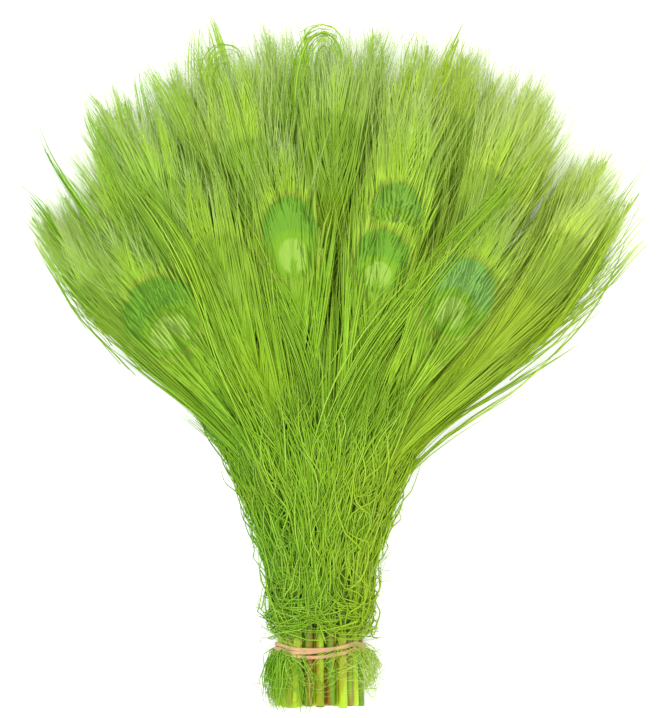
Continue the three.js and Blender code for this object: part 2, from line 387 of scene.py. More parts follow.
# Barbs in an eye take this one even tone, which keeps the eye smooth; its lightness is painted light that
# lifts the shade on tilted eyes
EYE_TONE = 0.7
EYE_HALF_WIDTH, EYE_HALF_LENGTH, EYE_RAISED = 16.0, 19.0, -2.0
EYE_RIM = (1.2, 0.85)  # the smooth surface begins and is complete here, as shares of its half size
PLAIN_EYE = (0.1, 0.6)  # and it is smooth where the eye shows as plainly as this
FLATNESS = 0.32
LOCK = 6  # barbs that hang together
CROSSED_RACHIS = 0.35  # barbs start this far across it, so that they cover it
EARLY_CURVE = 0.3  # barbs turn along the rachis soon after their roots
FOLLOWED = 0.85  # how far barbs follow the bend of their rachis
HOOK = 10.0  # degrees that the tips of the crown turn outwards
WISPS = 40  # thin loose barbs on each side of a feather
WISPS_LONGER = 16.0
WISP_WIDTH = 0.22
WISPS_FROM = 120.0
PALE = 1.3  # the tone of barbs that took little dye
EYE_SUNK = 1.2  # loose barbs lie this much lower in an eye, so that it shows
STEM_STEPS = 11
NO_EYE = 500.0  # barbs that lie in no eye are this far from one


def barb_paths(feather, side, roots, length, root_angle, tip_angle, hook):
    """Where barbs run in plan, and the same in the feather's own frame: across its rachis and along it."""
    x0, y0, heading = feather.at(roots)
    n = len(roots)
    t = np.linspace(0, 1, BARB_STEPS)
    x, y, u, v = (np.zeros((n, BARB_STEPS)) for _ in range(4))
    x[:, 0] = x0 - side * CROSSED_RACHIS * np.cos(heading)
    y[:, 0] = y0 + side * CROSSED_RACHIS * np.sin(heading)
    u[:, 0], v[:, 0] = -side * CROSSED_RACHIS, roots
    step = length / (BARB_STEPS - 1)
    outwards = np.sign(feather.lean)
    for k in range(1, BARB_STEPS):
        middle = (t[k] + t[k - 1]) / 2
        _, _, heading = feather.at(roots + FOLLOWED * middle * length)
        curved = mix(root_angle, tip_angle, middle**EARLY_CURVE)
        angle = np.radians(curved * side + hook * outwards * middle**3)
        x[:, k] = x[:, k - 1] + step * np.sin(heading + angle)
        y[:, k] = y[:, k - 1] + step * np.cos(heading + angle)
        u[:, k] = u[:, k - 1] + step * np.sin(angle)
        v[:, k] = v[:, k - 1] + step * np.cos(angle)
    return t, x, y, u, v


def barb_form(feather, side, from_tip):
    """Length, root angle and tip angle by how far from the tip a barb grows."""

    def there(values):
        return np.interp(from_tip, FROM_TIP, values)

    length, root_angle, tip_angle = there(LENGTHS), there(ROOT_ANGLES), there(TIP_ANGLES)
    if side == feather.outer:
        share, shorter = there(LEFT_ANGLES if side < 0 else RIGHT_ANGLES), there(OUTER_LENGTHS)
        if not feather.edge:
            # the top row's outer feathers have full vanes round their eyes
            full = smooth(from_tip, *FULL_VANE)
            share, shorter = mix(share, 1, full), mix(shorter, 1, full)
        length, root_angle, tip_angle = length * shorter, root_angle * share, tip_angle * share
    else:
        share = feather.broad * (INNER_ANGLES if feather.edge else 1)
        root_angle, tip_angle = root_angle * share, tip_angle * share
    return length + feather.longer * (1 - smooth(from_tip, *LONGER_OVER)), root_angle, tip_angle


def vane_attributes(feather, u, v, tone, t):
    return {
        "eye_u": u / feather.eye_width,
        "eye_v": (v - feather.eye_at) / feather.eye_length,
        "eye_seen": feather.eye,
        "eye_blue": feather.blue,
        "tone": tone,
        "barb_t": t,
        # where painted light makes the vane lighter towards the tip
        "tipward": feather.lighter * smooth(v - feather.eye_at, feather.light_from, LIGHT_TO),
        "paling": feather.paling * mix(*PALING, smooth(v - feather.eye_at, *PALING_OVER)),
        "fading": feather.paling * smooth(v - feather.eye_at, *FADING_OVER),
        "warm": feather.warm,
    }


def eye_share(feather, u, v):
    """How far a place belongs to the eye, where the barbs close to a smooth surface."""
    across = u / feather.eye_width / EYE_HALF_WIDTH
    along = ((v - feather.eye_at) / feather.eye_length - EYE_RAISED) / EYE_HALF_LENGTH
    return smooth(np.hypot(across, along), *EYE_RIM) * float(smooth(feather.eye, *PLAIN_EYE))


def vane_height(feather, roots, x, y, v):
    """The height of the middle of the rachis, which its barbs keep to."""
    radius = quill_radius(roots)[:, None]
    return feather.underside(x, y, radius) + radius + feather.rise(v)


def vane_barbs(feather, side, strands, rng):
    """The barbs on one side of a feather, in locks, and closed to a smooth surface in the eye."""
    end = feather.reach - CROWN
    hidden = not feather.edge and 0 < feather.row < TOP_ROW - 1
    dense_from = feather.reach - HIDDEN_FROM_TIP if hidden else VANE_FROM
    step = UPPER_STEP if feather.row >= TOP_ROW - 1 else BARB_STEP
    spaced = np.concatenate([
        np.arange(VANE_FROM, dense_from, HIDDEN_STEP),
        np.arange(dense_from, end - CROWN_LENGTH, step),
        np.arange(end - CROWN_LENGTH, end, CROWN_STEP),
    ])
    roots = np.sort(spaced + rng.uniform(-0.3, 0.3, len(spaced)))
    n = len(roots)
    from_tip = feather.reach - roots
    crowned = smooth(from_tip, *CROWNED)
    lock = np.floor(np.arange(n) / LOCK + rng.uniform(0, 1)).astype(int)
    locks = lock.max() + 1

    def shared(mean, spread):
        """A random number for each lock, the same for all its barbs."""
        return rng.normal(mean, spread, locks)[lock]

    length, root_angle, tip_angle = barb_form(feather, side, from_tip)
    length = length * (1 + shared(0, 0.05)) * rng.uniform(mix(0.84, 0.75, crowned), 1.08, n)
    loose = mix(1.0, 0.45, crowned)
    root_angle = root_angle * (1 + shared(0, 0.12)) + loose * rng.normal(0, 1.5, n)
    tip_angle = tip_angle + loose * shared(0, 4.0) + rng.normal(0, 2.2, n)
    hook = crowned * (HOOK * rng.uniform(0, 1.2) * (not feather.edge) + shared(0, 4.0))
    t, x, y, u, v = barb_paths(feather, side, roots, length, root_angle, tip_angle, hook)
    # barbs of a lock draw together towards its middle barb
    middle_of = np.array([np.flatnonzero(lock == i)[np.sum(lock == i) // 2] for i in range(locks)])
    outer = side == feather.edge
    in_eye = eye_share(feather, u, v)
    rough = 1 - in_eye
    pull = mix(0.25 if outer else 0.72, 0.25, crowned)[:, None] * t**1.5 * (1 - 0.8 * in_eye)
    x = mix(x, x[middle_of[lock]], pull)
    y = mix(y, y[middle_of[lock]], pull)
    lift = shared(0.4, 1.4) * mix(1.0, 0.35, crowned) + rng.normal(0, 0.35, n)
    arch = shared(0.8, 0.7) * loose
    z = vane_height(feather, roots, x, y, v)
    z = z + rough * (lift[:, None] * t**1.5 + arch[:, None] * np.sin(np.pi * t))
    z = np.maximum(z, LOWEST + 0.2 * rng.uniform(0, 1, (n, 1)))
    width = OUTER_WIDTH if outer else BACKING_WIDTH if feather.backing else BARB_WIDTH
    width = mix(width, CROWN_WIDTH, np.maximum(crowned, smooth(from_tip, *THINNED)))[:, None]
    width = width * rng.uniform(0.75, 1.15, (n, 1))
    width = width * (1 - 0.8 * smooth(t, mix(0.45, 0.2, crowned)[:, None], 1.0))
    tone = 0.15 + 0.4 * rng.uniform(0, 1, locks)[lock] + 0.35 * rng.uniform(0, 1, n)
    tone = mix(tone, 0.6, 0.5 * crowned)
    strands.add(
        x, y, z,
        mix(width, EYE_WIDTH, in_eye),
        rng.normal(0, 0.3, n) * loose * rough.min(axis=1),
        mix(FLATNESS, 0.08, in_eye),
        # in an eye the barbs take the even EYE_TONE, whose lightness is painted light
        vane_attributes(feather, u, v, mix(tone[:, None], EYE_TONE, in_eye), t),
    )


def wisps(feather, side, strands, rng):
    """Thin barbs that stand a little off the vane and reach past the crown."""
    roots = feather.reach - rng.uniform(CROWN, WISPS_FROM, WISPS)
    from_tip = feather.reach - roots
    length, root_angle, tip_angle = barb_form(feather, side, from_tip)
    longer = WISPS_LONGER * (0.6 if feather.edge else 1)
    length = length * rng.uniform(0.9, 1.15, WISPS) + rng.uniform(0, longer, WISPS)
    root_angle = root_angle + rng.normal(0, 3, WISPS)
    tip_angle = tip_angle + rng.normal(0, 7, WISPS)
    hook = HOOK * rng.uniform(-0.5, 1.5, WISPS) * (not feather.edge)
    t, x, y, u, v = barb_paths(feather, side, roots, length, root_angle, tip_angle, hook)
    lift = rng.normal(0.6, 1.2, WISPS)[:, None] * t**1.5 - EYE_SUNK * eye_share(feather, u, v)
    z = np.maximum(vane_height(feather, roots, x, y, v) + lift, LOWEST)
    tone = mix(rng.uniform(0.4, 1, WISPS), PALE, smooth(from_tip, 100, 50))[:, None]
    strands.add(
        x, y, z,
        WISP_WIDTH * rng.uniform(0.6, 1.2, (WISPS, 1)) * (1 - 0.6 * smooth(t, 0.3, 1.0)),
        rng.normal(0, 0.5, WISPS),
        0.9,
        vane_attributes(feather, u, v, tone, t),
    )


# The barbs of a crown hang together in a few locks: dense and round ones on the left, thin and pale ones
# elsewhere
CROWN_LOCKS = 4
CROWN_LOCK_BARBS = 12
CROWN_LOCK_TONE = 0.25  # their tone is lighter by this
ROUND_LEANS = (-38.0, -9.0)
ROUND_LOCKS = 2
ROUND_LOCK_BARBS = 22
ROUND_LOCK_TONE = -0.1
ROUND_LONGER = 7.0
CROWN_LOCK_STEPS = 8
CROWN_LOCK_APART = 4.6
CROWN_LOCK_NARROWED = 0.3
CROWN_LOCK_WIDTH = 0.45
CROWN_ROOTS = (48.0, 84.0)  # from the tip
CROWN_LOCK_FROM = 40.0  # they keep to the middle of the rachis as it is this far from the tip


def crown_locks(feather, strands, rng):
    """Locks of barbs that stand on the upper part of the vane and end in the crown."""
    rounded = ROUND_LEANS[0] < feather.lean < ROUND_LEANS[1]
    locks = ROUND_LOCKS if rounded else CROWN_LOCKS
    n = ROUND_LOCK_BARBS if rounded else CROWN_LOCK_BARBS
    lighter = ROUND_LOCK_TONE if rounded else CROWN_LOCK_TONE
    t = np.linspace(0, 1, CROWN_LOCK_STEPS)
    for i in range(locks):
        place = (i - (locks - 1) / 2) * CROWN_LOCKS / locks
        spread = rng.uniform(3.0, 4.4) if rounded else rng.uniform(2.0, 5.0)
        offset = rng.uniform(-1, 1, n) if rounded else rng.normal(0, 0.7, n)
        start = feather.reach - rng.uniform(*CROWN_ROOTS, n)
        end = feather.reach + feather.longer - 3.0 * abs(place) - rng.uniform(-4, 8)
        end = end + rng.normal(0, 0.6 if rounded else 3.0, n) + ROUND_LONGER * rounded - 3.5 * offset**2
        v = mix(start[:, None], end[:, None], t)
        hook = rng.normal(2.0 * np.sign(feather.lean), 5.0)
        wave = rng.normal(0, 1.2) * np.sin(2 * np.pi * (0.6 * t + rng.uniform()))
        u = (place * CROWN_LOCK_APART + rng.normal(0, 1.0)) * (0.35 + 0.65 * smooth(t, 0, 0.5))
        u = u + wave + hook * t**4 + spread * offset[:, None] * (1 - CROWN_LOCK_NARROWED * t**1.7)
        x, y, heading = feather.at(v)
        x, y = x + u * np.cos(heading), y - u * np.sin(heading)
        lift = (0.2 + rng.uniform(0, 1.4, n)[:, None] * t) * smooth(t, 0, 0.3)
        lift = lift - EYE_SUNK * eye_share(feather, u, v)
        z = vane_height(feather, feather.reach - CROWN_LOCK_FROM + 0 * start, x, y, v) + lift
        tone = mix(rng.uniform(0.1, 0.9, (n, 1)), rng.uniform(0.2, 0.8), 0.5) + lighter
        width = (1.0 if rounded else 0.8) * CROWN_LOCK_WIDTH * rng.uniform(0.7, 1.2, (n, 1))
        strands.add(
            x, y, np.maximum(z, LOWEST),
            width * (1 - 0.7 * smooth(t, 0.5, 1.0)),
            rng.normal(0, 0.3, n),
            0.7,
            vane_attributes(feather, u, v, tone, (0.5 if rounded else 0.9) * t),
        )


# Locks of long barbs that cross the feathers below them: the feather that each grows on, its plan, and how
# many barbs it has
STRAY_LOCKS = (
    ((6, 3), ((-2, 62), (5, 92), (20, 121), (43, 151), (60, 170), (79, 189), (101, 213)), 48),
    ((6, 2), ((-2, 70), (-4, 100), (-9, 120), (-18, 140), (-30, 166), (-41, 194)), 40),
    ((6, 1), ((-14, 64), (-24, 90), (-36, 116), (-44, 140), (-51, 158), (-64, 178), (-82, 196)), 56),
    ((5, 3), ((4, 84), (7, 112), (6, 134), (8, 156), (8, 180)), 24),
    # arching over at the top
    ((4, 3), ((-7, 210), (-8, 230), (-5, 243), (1, 248), (6, 245), (9, 236), (10, 222)), 22),
    ((4, 2), ((-44, 216), (-46, 230), (-41, 240), (-34, 240), (-30, 230)), 14),
    ((4, 4), ((30, 206), (35, 224), (38, 238), (41, 250)), 12),
    ((4, 5), ((44, 208), (49, 226), (54, 240), (59, 252)), 14),
    # at the right and left edges
    ((3, 7), ((40, 86), (60, 104), (80, 121), (99, 143), (113, 166), (136, 200)), 34),
    ((4, 6), ((52, 96), (74, 110), (94, 128), (108, 147), (118, 166), (132, 189)), 20),
    ((3, 0), ((-74, 124), (-90, 142), (-102, 160), (-113, 178), (-121, 186), (-128, 187)), 26),
    ((4, 0), ((-64, 132), (-80, 152), (-94, 174), (-105, 190), (-112, 202), (-115, 212)), 30),
    ((5, 0), ((-54, 140), (-66, 160), (-78, 184), (-88, 204), (-94, 214), (-96, 222)), 20),
)
LOCK_SPREAD = 2.4
LOCK_RAISED = 3.0
LOCK_FALL = 6.0
LOCK_WIDTH = 0.5


def stray_lock(feather, plan, number, strands, rng):
    """One lock along its plan, over the feathers below and down to them at its end."""
    plan = np.array(plan, float)
    knots = np.concatenate([[0], np.cumsum(np.hypot(*np.diff(plan, axis=0).T))])
    start = rng.uniform(0, 0.5, number)
    end = start + rng.uniform(0.4, 0.6, number)
    t = np.linspace(0, 1, STEM_STEPS)
    along = mix(start[:, None], end[:, None], t) * knots[-1]
    x = np.interp(along, knots, plan[:, 0])
    y = np.interp(along, knots, plan[:, 1])
    # corners of the plan are rounded off
    for line in (x, y, x, y):
        line[:, 1:-1] = (line[:, :-2] + 2 * line[:, 1:-1] + line[:, 2:]) / 4
    slope = np.arctan2(np.gradient(x, axis=1), np.gradient(y, axis=1))
    aside = rng.normal(0, LOCK_SPREAD, number)[:, None] * (1.3 - 0.7 * along / knots[-1])
    aside = aside + rng.normal(0, 1.6, number)[:, None] * np.sin(np.pi * t)
    x, y = x + aside * np.cos(slope), y - aside * np.sin(slope)
    radius = quill_radius(y)
    rise = LOCK_RAISED * rng.uniform(0.1, 1, number)[:, None] * np.sin(np.pi * (0.15 + 0.7 * t))
    fall = LOCK_FALL * smooth(along / knots[-1], 0.65, 1.0)
    z = np.maximum(feather.underside(x, y, radius) + 2 * radius + rise - fall, LOWEST)
    strands.add(
        x, y, z,
        LOCK_WIDTH * rng.uniform(0.6, 1.3, (number, 1)) * (1 - 0.6 * smooth(t, 0.5, 1.0)),
        rng.normal(0, 0.4, number),
        0.8,
        vane_attributes(feather, NO_EYE, -NO_EYE, rng.uniform(0.1, 1.05, (number, 1)), 0.5 * t),
    )


ARC_POINTS = 9  # in the arc round each corner of the bundle


def bundle_outline(distance):
    """The six-sided outline round the bundle at the band, at a distance from the quills' surfaces.

    It gives the way along it, its points and its outward normals."""
    corners = []
    for row, side in ((0, -1), (0, 1), (WIDEST_ROW, 1), (TOP_ROW, 1), (TOP_ROW, -1), (WIDEST_ROW, -1)):
        z = BAND_THICKNESS + BAND_GAP + QUILL_DIAMETER / 2 + row * ROW_RISE
        corners.append(np.array([side * (ROWS[row] - 1) * QUILL_PITCH / 2, z]))
    points, normals = [], []
    reach = QUILL_DIAMETER / 2 + distance
    for i, corner in enumerate(corners):
        before, after = corners[i - 1], corners[(i + 1) % len(corners)]
        start = math.atan2(*(corner - before)[::-1]) - math.pi / 2
        end = math.atan2(*(after - corner)[::-1]) - math.pi / 2
        while end < start:
            end += 2 * math.pi
        angles = np.linspace(start, end, ARC_POINTS)
        normals.extend(np.stack([np.cos(angles), np.sin(angles)], axis=1))
        points.extend(corner + normal * reach for normal in normals[-ARC_POINTS:])
    points, normals = np.array(points + points[:1]), np.array(normals + normals[:1])
    way = np.concatenate([[0], np.cumsum(np.linalg.norm(np.diff(points, axis=0), axis=1))])
    return way, points, normals


def on_outline(place, way, points, normals):
    """The points of an outline at places along it, and its outward normals there."""
    return (np.interp(place, way, values) for values in (*points.T, *normals.T))


SIDE_FLUFF = 1.6  # loose barbs of the stem stand further off at the sides than on top, by this share
BUNDLE_REACH = 130.0
WAYS = 1000  # places that are tried for the one nearest to a quill


class Bundle:
    """The outside of the bundle of quills, which barbs of the stem wrap round."""

    def __init__(self, feathers):
        self.outline = bundle_outline(0)
        placed = {(feather.row, feather.column): feather for feather in feathers}
        self.widest, self.top, self.low = placed[WIDEST_ROW, 0], placed[TOP_ROW, 1], placed[0, 2]
        _, self.middle, _ = self.spread(np.array([0.0]))
        self.length = self.outline[0][-1]

    def spread(self, y):
        """How much wider the bundle is than at the band, its middle height, and how much thicker it is."""
        y = np.clip(y, 0, BUNDLE_REACH)
        x, _, _ = self.widest.at(y)
        radius = quill_radius(y)
        top = self.top.underside(0 * y, y, radius) + 2 * radius
        low = self.low.underside(0 * y, y, radius)
        height = QUILL_DIAMETER + TOP_ROW * ROW_RISE
        return x / self.widest.x, (top + low) / 2, (top - low) / height

    def way_to(self, x, z):
        """The place on the outline nearest to a quill."""
        ways = np.linspace(0, self.length, WAYS)
        px, pz, _, _ = on_outline(ways, *self.outline)
        return ways[np.argmin(np.hypot(px - x, pz - z))]

    def place(self, way, y, off):
        wide, middle, thick = self.spread(y)
        px, pz, nx, nz = on_outline(way % self.length, *self.outline)
        fluff = SIDE_FLUFF * np.abs(nx) * (1 - 0.7 * smooth(y, 50, 90))
        x = px * wide + nx * off * (1 + fluff)
        outward = np.minimum(1, np.abs(x) / HALF_FAN)
        droop = 1 - smooth(y, BUNDLED_TO, LAYERED_AT) * SIDE_DROOP * outward**2
        return x, (middle + (pz - self.middle[0]) * thick) * droop + nz * off


class Kind(NamedTuple):
    """One kind of the barbs that cover the quills. Each pair is a least and a most value."""

    number: int  # on each feather
    start: tuple  # along the quills
    length: tuple
    heading: tuple  # degrees from the quills' own direction, to either side
    width: tuple
    near: tuple  # distance from the bundle at the root
    wave: float  # degrees that they swing to either side
    turn: float = 0  # degrees that they turn back over their length
    stand_off: float = 1
    pale: float = 0
    lowest: float = 3  # along the quills


COVER = Kind(44, (1, 66), (30, 50), (0, 10), (0.6, 0.9), (0, 1.0), 12, lowest=0.8)
LONG = Kind(50, (34, 84), (26, 42), (0, 20), (0.5, 0.8), (0, 2.0), 18, stand_off=1.8)
WAVY = Kind(26, (5, 80), (18, 34), (4, 24), (0.5, 0.75), (0.6, 2.0), 26, stand_off=2)
LOOPS = Kind(7, (12, 26), (20, 34), (135, 176), (0.45, 0.65), (0.8, 2.0), 12, 150, 1.5)
FUZZ = Kind(14, (-18, 64), (7, 16), (10, 150), (0.14, 0.24), (0.5, 2.5), 50, 90, 3, 0.6, -26)
HANGING = Kind(26, (-3, 1), (19, 28), (158, 179), (0.35, 0.55), (0.4, 1.8), 30, 0, 1.5, 0, -26)
LOOSE_LOOPS = Kind(16, (-3, 3), (20, 30), (145, 179), (0.2, 0.34), (0.6, 2.2), 50, 70, 2.5, 0.7, -26)
TUCKED = 1.5  # their roots lie this much nearer to the quills


def stem_barbs(feather, bundle, strands, rng, kind):
    """Barbs that run over the outside of the bundle and swing and turn as they go."""
    n = kind.number
    y, way = np.zeros((n, STEM_STEPS)), np.zeros((n, STEM_STEPS))
    y[:, 0] = rng.uniform(*kind.start, n)
    way[:, 0] = bundle.way_to(feather.x, feather.z) + rng.uniform(-2.6, 2.6, n)
    side = rng.choice([-1, 1], n)
    heading = rng.uniform(*kind.heading, n)
    turn = kind.turn * rng.uniform(0.3, 1.1, n)
    wave = kind.wave * rng.uniform(0.3, 1, n)
    swings, phase = rng.uniform(0.6, 1.4, n), rng.uniform(0, 2 * np.pi, n)
    step = rng.uniform(*kind.length, n) / (STEM_STEPS - 1)
    t = np.linspace(0, 1, STEM_STEPS)
    for k in range(1, STEM_STEPS):
        swung = wave * np.sin(2 * np.pi * swings * t[k] + phase)
        psi = np.radians(side * (heading - turn * t[k]) + swung)
        y[:, k] = y[:, k - 1] + step * np.cos(psi)
        wide, _, thick = bundle.spread(y[:, k])
        way[:, k] = way[:, k - 1] + step * np.sin(psi) * 2 / (wide + thick)
    y = np.maximum(y, kind.lowest + rng.uniform(0, 1.5, (n, 1)))
    out = rng.uniform(*kind.near, n)[:, None]
    out = out + kind.stand_off * rng.uniform(0, 1, n)[:, None] * np.sin(np.pi * t)
    out = out + kind.stand_off * np.minimum(rng.exponential(0.4, n), 1.5)[:, None] * t**2
    out = out - TUCKED * (1 - smooth(t, 0, 0.12))
    x, z = bundle.place(way, y, out)
    strands.add(
        x, y, np.maximum(z, LOWEST),
        rng.uniform(*kind.width, n)[:, None] * (1 - 0.7 * smooth(t, 0.3, 1.0)),
        rng.normal(0, 0.6, n),
        0.8,
        vane_attributes(
            feather, NO_EYE, -NO_EYE, mix(rng.uniform(0.05, 1, n), PALE, kind.pale)[:, None], t
        ),
    )


QUILL_SIDES = 8
QUILL_STEPS = 14  # up to where the vanes are layered, and as many past there
QUILL_PAUSE = 9.0  # from the one half to the other
RACHIS_PAST = 0.4  # the rachis goes on by this share of the crown past the last barbs of the vane
HIDDEN_RACHIS = 0.55  # it is sunk between the barbs, which hide this share of it
SUNK_OVER = (20.0, 90.0)
SUNK = 0.6  # and it is lower by this share of what they hide
CHAMFER = (0.5, 0.93)  # the cut end's edge: its length, and its radius as a share of the quill's
# The pith in the cut end and the rim round it: how deep each lies, and its radius as a share of the edge's
PITH = (0.5, 0.66)
RIM = (0.0, 0.72)
PITH_BULGE = 0.2


def quill_mesh(feather):
    """The quill and rachis: a tube from the cut end, where its pith is sunk a little, to a fine tip."""
    start, end = -feather.below, feather.reach - CROWN * (1 - RACHIS_PAST)
    stations = np.concatenate([
        [start],
        np.linspace(start + CHAMFER[0], LAYERED_AT, QUILL_STEPS),
        np.linspace(LAYERED_AT + QUILL_PAUSE, end, QUILL_STEPS),
    ])
    x, y, heading = feather.at(stations)
    full = quill_radius(stations)
    radius = full * mix(1.0, 1 - HIDDEN_RACHIS, smooth(stations, *SUNK_OVER))
    z = feather.underside(x, y, full) + full + feather.rise(stations) - (full - radius) * SUNK
    radius[0] *= CHAMFER[1]
    around = np.linspace(0, 2 * np.pi, QUILL_SIDES, endpoint=False)[:, None]
    across = np.stack([np.cos(heading), -np.sin(heading), 0 * heading], axis=1)[:, None]
    ring = np.cos(around) * across + np.sin(around) * np.array([0.0, 0.0, 1.0])
    middle = np.stack([x, y, z], axis=1)
    cut_rings = [middle[0] + [0, depth, 0] + ring[0] * radius[0] * share for depth, share in (PITH, RIM)]
    rings = np.concatenate([cut_rings, middle[:, None] + ring * radius[:, None, None]])
    pith_middle = middle[0] + [0, PITH[0] - PITH_BULGE, 0]
    points = np.concatenate([rings.reshape(-1, 3), [pith_middle, middle[-1]]])
    quads, quad_uvs, triangles, triangle_uvs = [], [], [], []

    def strip(j, u0, u1):
        v0, v1 = (mix(UV_BARBS + 0.01, 0.99, (j + share) / QUILL_SIDES) for share in (0.1, 0.9))
        return (u0, v0), (u1, v0), (u1, v1), (u0, v1)

    tube = np.linspace(0.1, 0.98, len(stations))
    starts, ends = [0.04, 0.07, *tube[:-1]], [0.065, 0.095, *tube[1:]]
    last = len(rings) - 1
    for j in range(QUILL_SIDES):
        n = (j + 1) % QUILL_SIDES
        for i in range(last):
            a, b = i * QUILL_SIDES, (i + 1) * QUILL_SIDES
            quads.append((a + j, b + j, b + n, a + n))
            quad_uvs.append(strip(j, starts[i], ends[i]))
        triangles.append((j, n, len(points) - 2))
        triangle_uvs.append(strip(j, 0.01, 0.035)[:3])
        triangles.append((last * QUILL_SIDES + n, last * QUILL_SIDES + j, len(points) - 1))
        triangle_uvs.append(strip(j, 0.982, 0.998)[:3])
    along = np.append(np.repeat([start, start, *stations], QUILL_SIDES), [start, end])
    cut = np.append(np.repeat([1.0] + last * [0.0], QUILL_SIDES), [1.0, 0.0])
    faces = [np.array(quads), np.array(triangles)]
    uvs = [np.array(quad_uvs).reshape(-1, 2), np.array(triangle_uvs).reshape(-1, 2)]
    return points, faces, uvs, along, cut


def make_feather(feather, bundle, materials):
    rng = np.random.default_rng(1000 + feather.number)
    strands = Strands()
    feather.warm = 0.5 + 0.5 * feather.lean / FAN_ANGLE + rng.uniform(-0.25, 0.25)
    for side in (-1, 1):
        vane_barbs(feather, side, strands, rng)
        wisps(feather, side, strands, rng)
    crown_locks(feather, strands, rng)
    for grown_on, plan, number in STRAY_LOCKS:
        if grown_on == (feather.row, feather.column):
            stray_lock(feather, plan, number, strands, rng)
    kinds = [COVER, LONG, WAVY, LOOPS, FUZZ] if feather.outer or feather.row in (0, TOP_ROW) else []
    if feather.outer:
        kinds.append(HANGING if feather.outer < 0 else LOOSE_LOOPS)
    for kind in kinds:
        stem_barbs(feather, bundle, strands, rng, kind)
    points, faces, uvs, along, cut = quill_mesh(feather)
    barb_points = np.concatenate(strands.points)
    total = len(barb_points)
    attributes = {
        key: np.concatenate([part[key] for part in strands.attributes] + [np.zeros(len(points))])
        for key in strands.attributes[0]
    }
    for key, value in (("along", along), ("cut", cut)):
        attributes[key] = np.concatenate([np.zeros(total), value])
    attributes["shade"] = np.full(total + len(points), rng.uniform())
    groups = strands.faces + [part + total for part in faces]
    index = np.concatenate([np.full(len(g), int(i >= len(strands.faces))) for i, g in enumerate(groups)])
    made = mesh_object(
        feather.name + "_barbs",
        np.concatenate([barb_points, points]),
        groups,
        strands.texture_places() + uvs,
        attributes,
        materials,
        index,
    )
    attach(made, "root")
    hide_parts(feather.name)


# The rubber band
TURNS = 3
STRAND_WIDTH = 1.5
STRAND_THICKNESS = 1.0
BAND_STEPS = 110  # in one turn
BAND_SIDES = 12
CROSSING = 0.12  # the share of a turn over which one turn climbs over another
CLIMB = 0.85  # and how high
TO_QUILLS = 0.12  # from the band's inside to the quills
TURNS_APART = 1.6
SAG_WIDTH = 14.0
SQUARED = 0.55  # 1 gives a round strand, 0 a square one
ABOVE_SURFACE = 0.05


def band_mesh(material):
    """One closed band wound three times round the bundle, with turns that lie side by side and cross."""
    outline = bundle_outline(TO_QUILLS + STRAND_THICKNESS / 2)
    place = np.arange(TURNS * BAND_STEPS) / BAND_STEPS
    x, z, nx, nz = on_outline(place % 1 * outline[0][-1], *outline)
    nx, nz = (values / np.hypot(nx, nz) for values in (nx, nz))
    phase = 2 * np.pi * place / TURNS
    y = TURNS_APART * np.cos(phase) + 0.2 * np.sin(7 * phase)
    # it sags towards the cut ends over the middle of the top and rises at one side
    aside = x / SAG_WIDTH
    y = y + smooth(z, 15, 26) * (-1.2 + 1.2 * aside + 1.6 * aside**2)
    lift = CLIMB * sum(np.exp(-(((place - turn) / CROSSING) ** 2)) for turn in range(1, TURNS))
    path = np.stack([x + nx * lift, y, z + nz * lift], axis=1)
    path[:, 2] = np.maximum(path[:, 2], ABOVE_SURFACE + STRAND_THICKNESS / 2)
    out = np.stack([nx, 0 * nx, nz], axis=1)
    wide = np.cross(unit(np.roll(path, -1, axis=0) - np.roll(path, 1, axis=0)), out)
    around = np.linspace(0, 2 * np.pi, BAND_SIDES, endpoint=False)
    cos, sin = (np.sign(wave) * np.abs(wave) ** SQUARED for wave in (np.cos(around), np.sin(around)))
    section = wide[:, None] * cos[None, :, None] * STRAND_WIDTH / 2
    section = section + out[:, None] * sin[None, :, None] * STRAND_THICKNESS / 2
    points = (path[:, None] + section).reshape(-1, 3)
    n = len(path)
    i, j = np.meshgrid(np.arange(n), np.arange(BAND_SIDES), indexing="ij")
    i2, j2 = (i + 1) % n, (j + 1) % BAND_SIDES
    corners = [i * BAND_SIDES + j, i * BAND_SIDES + j2, i2 * BAND_SIDES + j2, i2 * BAND_SIDES + j]
    quads = np.stack(corners, axis=2).reshape(-1, 4)
    u0, u1 = (i + 0.02) / n, (i + 0.98) / n
    v0, v1 = (j + 0.02) / BAND_SIDES, (j + 0.98) / BAND_SIDES
    uvs = np.stack([u0, v0, u0, v1, u1, v1, u1, v0], axis=2).reshape(-1, 2)
    made = mesh_object("rubber_band_turns", points, [quads], [uvs], {}, [material])
    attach(made, "root")
    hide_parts("rubber_band")


GRAIN_DEPTH = 0.0002  # in metres


